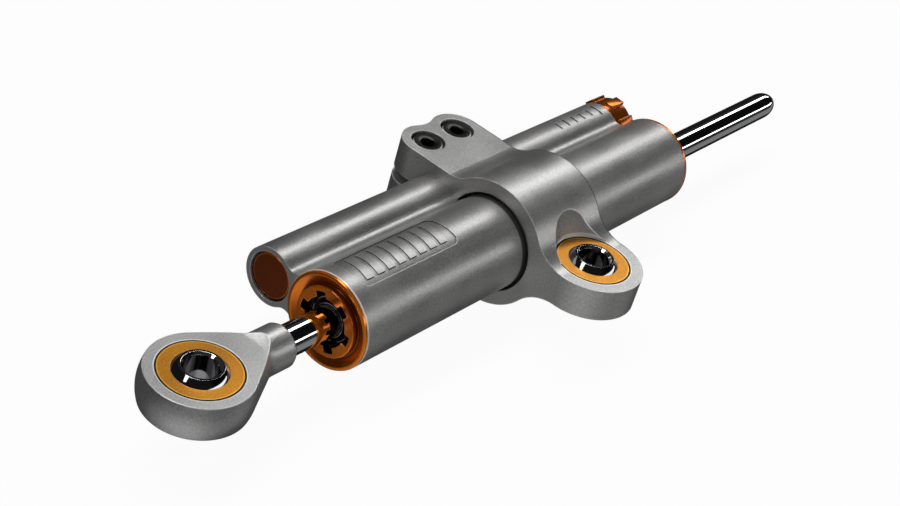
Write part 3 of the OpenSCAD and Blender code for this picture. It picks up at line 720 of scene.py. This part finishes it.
def plug_finish():
    """Dark brown painted shade over the plug, with an orange line round its rim."""
    # The plug's dark brown is painted shade for its sunk face.
    brown = (0.25, 0.045, 0.002)
    made = metal("plug_brown", brown, 0.3, depth=0.06, radius=0.2, wear_and_glint_colour=(0.75, 0.2, 0.02))
    material, shader, start, base = made
    line = between(distance(start, RESERVOIR, ROUND_X), 5.63, 6.0, 0.08)
    feed(shader, Base_Color=blended(line * 0.8, base, (0.75, 0.17, 0.01)))
    return material


def knob_finish():
    """The same orange dye, a little darker and with brighter edges."""
    dark = (0.50, 0.125, 0.01)
    wear_and_glint_orange = (0.98, 0.40, 0.05)
    return kept(metal("knob_orange", dark, 0.21, depth=0.1, radius=0.2, wear_and_glint_colour=wear_and_glint_orange, cast=0.9))


finishes["orange_anodised"] = orange_finish()
own_finish["reservoir_plug"] = plug_finish()
knob_orange = knob_finish()
print("orange_anodised, plug_brown and knob_orange made")

# %% [markdown]
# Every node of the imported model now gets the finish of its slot, or its own finish where its marks
# follow an axis of their own.

# %% Give every carried-over part its finish
slot_of = {}
for row in frame["record"].get("materials", []):
    for name in row.get("nodes", []):
        slot_of[name] = row["slot"]
for name, part in nodes.items():
    had = [m.name for m in part.data.materials if m]
    slot_name = slot_of.get(name) or (had[0] if had else "body_metal")
    finish = own_finish.get(name) or finishes[slot_name.split(".")[0]]
    if part.data.materials:
        for number in range(len(part.data.materials)):
            part.data.materials[number] = finish
    else:
        part.data.materials.append(finish)
    print(name, "->", finish.name, len(part.data.polygons), "faces")

# %% [markdown]
# Some pieces look better than their plain solid: rounded by the lathe, milled or knurled. They are
# modelled here. Most are turned, so the first helper works like a lathe: one vertex is extruded
# along the outline of half a section, the outline's corners are rounded with a bevel, and a spin
# takes it once round the axis.


# %% A lathe
def only(piece):
    """Selects one object and nothing else."""
    bpy.ops.object.select_all(action="DESELECT")
    piece.select_set(True)
    bpy.context.view_layer.objects.active = piece


def turned(name, outline, centre, along="X", rounding=0.0, steps=96, closed=True):
    """Spins an outline of (place along the axis, radius) in millimetres about an axis."""
    centre = Vector(centre) * MM
    axis = Vector((1, 0, 0)) if along == "X" else Vector((0, 0, 1))
    aside = Vector((0, 1, 0)) if along == "X" else Vector((1, 0, 0))
    points = [centre + axis * (a * MM) + aside * (r * MM) for a, r in outline]
    bpy.ops.object.select_all(action="DESELECT")
    bpy.ops.mesh.primitive_plane_add(size=MM, location=(0, 0, 0))
    piece = bpy.context.object
    piece.name = name
    bpy.ops.object.mode_set(mode="EDIT")
    bpy.ops.mesh.select_all(action="SELECT")
    bpy.ops.mesh.merge(type="CENTER")
    bpy.ops.transform.translate(value=points[0])
    for here, there in zip(points, points[1:] + points[:1] * closed):
        bpy.ops.mesh.extrude_region_move(TRANSFORM_OT_translate={"value": there - here})
    bpy.ops.mesh.select_all(action="SELECT")
    bpy.ops.mesh.remove_doubles(threshold=1e-6)
    if rounding:
        width = rounding * MM
        bpy.ops.mesh.bevel(offset=width, segments=3, affect="VERTICES", clamp_overlap=True)
    bpy.ops.mesh.select_all(action="SELECT")
    bpy.ops.mesh.spin(steps=steps, angle=2 * math.pi, center=centre, axis=axis)
    bpy.ops.mesh.select_all(action="SELECT")
    bpy.ops.mesh.remove_doubles(threshold=1e-6)
    bpy.ops.mesh.normals_make_consistent(inside=False)
    bpy.ops.object.mode_set(mode="OBJECT")
    return piece


print("lathe ready")

# %% [markdown]
# The second set of helpers works like a mill: blocks, copies round an axis, cuts and unions, and
# rounded edges. The last one gives a finished piece to the body that it moves with.


# %% A mill
def block(name, low, high):
    """A cube primitive stretched between two corners in millimetres."""
    bpy.ops.object.select_all(action="DESELECT")
    middle = (Vector(low) + Vector(high)) * (MM / 2)
    bpy.ops.mesh.primitive_cube_add(size=1, location=middle)
    piece = bpy.context.object
    piece.name = name
    piece.scale = (Vector(high) - Vector(low)) * MM
    bpy.ops.object.transform_apply(location=True, rotation=True, scale=True)
    return piece


def round_copies(piece, count, centre, first=0.0):
    """Copies a piece evenly round an axis along X and joins the copies into one."""
    pivot = Matrix.Translation(Vector(centre) * MM)
    copies = []
    for number in range(count):
        twin = piece.copy()
        twin.data = piece.data.copy()
        bpy.context.scene.collection.objects.link(twin)
        turn = Matrix.Rotation(math.radians(first + 360 * number / count), 4, "X")
        twin.matrix_world = pivot @ turn @ pivot.inverted()
        copies.append(twin)
    bpy.data.objects.remove(piece)
    only(copies[0])
    for twin in copies:
        twin.select_set(True)
    bpy.ops.object.transform_apply(location=True, rotation=True, scale=True)
    bpy.ops.object.join()
    return bpy.context.object


def combine(piece, tool, operation):
    """Cuts a tool out of a piece, or unites the two, and deletes the tool."""
    only(piece)
    bpy.ops.object.modifier_add(type="BOOLEAN")
    step = piece.modifiers[-1]
    step.operation = operation
    step.object = tool
    step.solver = "EXACT"
    bpy.ops.object.modifier_apply(modifier=step.name)
    bpy.data.objects.remove(tool)


def soften(piece, width, angle, segments=2):
    """Rounds every edge sharper than an angle with a bevel modifier."""
    only(piece)
    bpy.ops.object.modifier_add(type="BEVEL")
    step = piece.modifiers[-1]
    step.width = width * MM
    step.segments = segments
    step.limit_method = "ANGLE"
    step.angle_limit = math.radians(angle)
    bpy.ops.object.modifier_apply(modifier=step.name)


def hand_over(piece, body, node, slot, finish=None, angle=35):
    """Gives a finished piece its shading, its finish, its body and the node it stands for."""
    only(piece)
    bpy.ops.object.shade_smooth_by_angle(angle=math.radians(angle))
    piece.data.materials.clear()
    piece.data.materials.append(finish or finishes[slot])
    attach(piece, body)
    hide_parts(node)
    print(piece.name, "rides on", body, "with", len(piece.data.polygons), "faces")


print("mill ready")

# %% [markdown]
# The clamp's two screws are black M5 socket screws. A head is turned with a rounded rim and a
# round socket, whose wall is then pushed out to the six flats of the key. The knurl is cut by
# moving every second row of the head's side inwards.


# %% Socket and knurl
def key_socket(piece, centre, key, low, high):
    """Moves a round socket wall out to a hexagon of the given key width."""
    for vertex in piece.data.vertices:
        reached = (vertex.co - Vector(centre) * MM) / MM
        reach = math.hypot(reached.x, reached.y)
        if low < vertex.co.z / MM < high and 0.99 < reach / (key / 2) < 1.01:
            turn = math.atan2(reached.y, reached.x) % (math.pi / 3) - math.pi / 6
            stretch = 1 / math.cos(turn)
            vertex.co.x = (centre[0] + reached.x * stretch) * MM
            vertex.co.y = (centre[1] + reached.y * stretch) * MM


def knurl(piece, centre, radius, low, high, depth, steps=96):
    """Pulls every second row of a turned side inwards between two heights."""
    for vertex in piece.data.vertices:
        reached = (vertex.co - Vector(centre) * MM) / MM
        reach = math.hypot(reached.x, reached.y)
        row = round(math.atan2(reached.y, reached.x) / (2 * math.pi / steps))
        if reach > radius - 0.02 and low < vertex.co.z / MM < high and row % 2:
            vertex.co.x -= reached.x / reach * depth * MM
            vertex.co.y -= reached.y / reach * depth * MM


print("socket and knurl ready")

# %% [markdown]
# A screw's outline starts in its socket, goes over the head and down its side, and the thread
# under it is a row of ridges.

# %% Clamp screws
THREAD_TOP = 5.0
THREAD_END = -9.2
THREAD_PITCH = 0.8


def clamp_screw(name, x):
    """An M5 socket screw, outlined from its socket down to its tip."""
    centre = (x, SCREW_Y, 0)
    socket = [(7.9, 0), (8.4, 1.3), (8.4, 2.0), (10.72, 2.0), (10.9, 2.36)]
    rim = [(10.9, 3.7), (10.87, 3.85), (10.75, 4.05), (10.56, 4.19), (10.3, 4.25)]
    side = [(10.1, 4.25), (6.4, 4.25), (6.2, 4.2), (5.9, 3.95), (5.9, 2.9), (5.6, 2.45)]
    thread = []
    top = THREAD_TOP
    while top > THREAD_END:
        thread += [(top, 2.45), (top - 0.2, 2.13), (top - 0.5, 2.13), (top - 0.7, 2.45)]
        top -= THREAD_PITCH
    tip = [(-9.5, 2.4), (-10.1, 1.8), (-10.1, 0)]
    piece = turned(name, socket + rim + side + thread + tip, centre, along="Z", closed=False)
    key_socket(piece, centre, key=4.0, low=8.3, high=10.6)
    knurl(piece, centre, radius=4.25, low=6.3, high=10.15, depth=0.12)
    hand_over(piece, "housing", "clamp_screws", "black_oxide", angle=28)


clamp_screw("clamp_screw_front", LUG[0] - SCREW_OFFSET)
clamp_screw("clamp_screw_rear", LUG[0] + SCREW_OFFSET)

# %% [markdown]
# Both end caps are turned with a raised disc and a groove whose outer side slopes, so that it
# catches the light as a bright ring. Six slots for the pin spanner are milled into the disc, with
# the round corners that an end mill leaves. The rear cap is the same with a thicker rim.


# %% End caps
def spanner_slot(outer, inner):
    """A block between two places along x, with the two long edges away from the axis rounded."""
    slot = block("slot", (min(outer, inner), 5.2, -1.5), (max(outer, inner), 7.9, 1.5))
    only(slot)
    bpy.ops.object.mode_set(mode="EDIT")
    bpy.ops.mesh.select_all(action="DESELECT")
    bpy.ops.object.mode_set(mode="OBJECT")
    for edge in slot.data.edges:
        ends = [slot.data.vertices[v].co for v in edge.vertices]
        edge.select = abs(ends[0].x - ends[1].x) > MM and ends[0].y > 7 * MM
    bpy.ops.object.mode_set(mode="EDIT")
    bpy.ops.mesh.select_mode(type="EDGE")
    bpy.ops.mesh.bevel(offset=0.4 * MM, segments=3, affect="EDGES")
    bpy.ops.mesh.select_mode(type="VERT")
    bpy.ops.object.mode_set(mode="OBJECT")
    return slot


def end_cap(name, node, face_x, side, rim_radius, rim_face, corner):
    """A cap whose outline runs inwards from the body's end at `face_x`, with `side` 1 or -1."""
    disc = [(-1.25, 6.4), (-1.25, 8.85), (-1.12, 9.05), (0.3, 9.2), (0.42, 9.4), (0.42, 9.65)]
    rim = [(-0.4, 11.25), (rim_face, 11.6), (rim_face, rim_radius - corner)]
    chamfer = (rim_face + corner * 0.3, rim_radius - corner * 0.3)
    rim += [chamfer, (rim_face + corner, rim_radius), (0, rim_radius)]
    shank = [(0, 11.55), (10, 11.55), (10, 10.15), (11.45, 10.15), (11.45, 11.55), (15, 11.55)]
    bore = [(15, 5.4), (7.8, 5.4), (7.8, 4.4), (7.2, 4.4), (7.2, 6.4)]
    outline = [(face_x + side * a, r) for a, r in disc + rim + shank + bore]
    piece = turned(name, outline, CENTRE, steps=128)
    slot = spanner_slot(face_x - side * 2, face_x + side * 1.25)
    slots = round_copies(slot, 6, CENTRE, first=6 * side)
    combine(piece, slots, "DIFFERENCE")
    hand_over(piece, "housing", node, "orange_anodised", angle=25)


end_cap("front_cap", "front_end_cap", FRONT_FACE, 1, rim_radius=12.5, rim_face=-0.65, corner=0.28)
end_cap("rear_cap", "rear_end_cap", REAR_FACE, -1, rim_radius=12.72, rim_face=-0.87, corner=0.12)

# %% [markdown]
# The wipers are moulded rubber rings. Each has a thin lip on the rod and a low bead further out.
# Rubber has no sharp edge anywhere, so every corner of the outline is rounded before it is spun.


# %% Wipers
def wiper(name, node, face_x, side):
    """A wiper whose outline runs inwards from the body's end, as a cap's does."""
    lip = [(0.25, 4.05), (0.25, 4.38), (1.38, 5.1), (1.38, 5.42), (1.02, 5.6), (1.02, 5.9)]
    back = [(1.38, 6.08), (1.38, 6.35), (3.45, 6.35), (3.45, 4.65), (1.75, 4.5)]
    outline = [(face_x + side * a, r) for a, r in lip + back]
    piece = turned(name, outline, CENTRE, rounding=0.09)
    hand_over(piece, "housing", node, "seal_rubber", angle=50)


wiper("front_wiper", "front_wiper_seal", FRONT_FACE, 1)
wiper("rear_wiper", "rear_wiper_seal", REAR_FACE, -1)

# %% [markdown]
# A ball is turned too: a bore with a chamfer at each mouth, two flat ends and the round side
# between them, which is an arc about the ball's middle. Fine steps keep its reflections smooth.

# %% Bearing balls
HALF_WIDTH = 6
ARC_STEPS = 32


def ball(name, node, centre):
    """A ball whose body has the same name as its node."""
    section = [(-HALF_WIDTH, 4.6), (-5.4, 4.0), (5.4, 4.0), (HALF_WIDTH, 4.6)]
    widest = math.asin(HALF_WIDTH / BALL_RADIUS)
    for step in range(ARC_STEPS + 1):
        slope = widest * (1 - 2 * step / ARC_STEPS)
        section.append((BALL_RADIUS * math.sin(slope), BALL_RADIUS * math.cos(slope)))
    piece = turned(name, section, centre, along="Z", steps=128)
    hand_over(piece, node, node, "chrome", finish=own_finish[node], angle=25)


ball("eye_ball", "rod_eye_ball", CENTRE)
ball("lug_ball", "clamp_ball", LUG)

# %% [markdown]
# The adjuster knob is a turned hub with seven grip ribs. A rib is a cube whose top is extruded
# once more and narrower, so that it has a step; its edges are bevelled and it is copied round the
# hub. In front of the hub is the stem that holds the needle.

# %% Adjuster knob
RIBS = 7
FIRST_RIB = -8.4
RIB_FRONT = 182.1
RIB_REAR = 188.05
RIB_HALF_WIDTH = 1.5
RIB_TOP_WIDTH = 0.5
RIB_STEP = 0.8

axis_y = RESERVOIR[1]
stem = [(176.95, 0), (176.95, 2), (165.35, 2), (165.35, 3), (165.95, 3), (165.95, 2.5)]
stem += [(166.8, 2.5), (166.8, 3), (180.9, 3)]
hub = [(180.9, 7.1), (181.0, 7.35), (181.3, 7.5), (187.6, 7.5), (187.95, 7.42), (188.3, 7.15)]
face = [(188.5, 6.7), (188.5, 4.95), (188.35, 4.65), (187.8, 4.4), (187.8, 0)]
knob = turned("knob_turned", stem + hub + face, RESERVOIR, closed=False)
foot = (RIB_FRONT, axis_y + 6.5, -RIB_HALF_WIDTH)
rib = block("rib", foot, (RIB_REAR, axis_y + 8.25, RIB_HALF_WIDTH))
only(rib)
for polygon in rib.data.polygons:
    polygon.select = polygon.normal.y > 0.9
bpy.ops.object.mode_set(mode="EDIT")
bpy.ops.mesh.select_mode(type="FACE")
bpy.ops.mesh.extrude_region_move(TRANSFORM_OT_translate={"value": (0, 0, 0)})
bpy.ops.transform.resize(value=(0.97, 1, RIB_TOP_WIDTH))
bpy.ops.mesh.extrude_region_move(TRANSFORM_OT_translate={"value": (0, RIB_STEP * MM, 0)})
bpy.ops.mesh.select_mode(type="VERT")
bpy.ops.object.mode_set(mode="OBJECT")
soften(rib, 0.12, angle=40)
ribs = round_copies(rib, RIBS, RESERVOIR, first=FIRST_RIB)
combine(knob, ribs, "UNION")
print("knob with ribs:", len(knob.data.polygons), "faces")

# %% [markdown]
# The knob's face has a slot for a screwdriver, and its hub's front has twelve round pockets that
# the detent ball drops into.

# %% Slot and pockets of the knob
POCKETS = 12
POCKET_RADIUS = 1.1

slot = block("key_slot", (186.9, axis_y - 4.1, -0.6), (190, axis_y + 4.1, 0.6))
combine(knob, slot, "DIFFERENCE")
bpy.ops.object.select_all(action="DESELECT")
bpy.ops.mesh.primitive_uv_sphere_add(
    segments=24,
    ring_count=12,
    radius=POCKET_RADIUS * MM,
    location=Vector((180.25, axis_y, 4.8)) * MM,
)
bpy.ops.object.transform_apply(location=True, rotation=True, scale=True)
pockets = round_copies(bpy.context.object, POCKETS, RESERVOIR)
combine(knob, pockets, "DIFFERENCE")
knob.name = "knob_modelled"
hand_over(knob, "knob", "adjuster_knob", "orange_anodised", finish=knob_orange, angle=32)
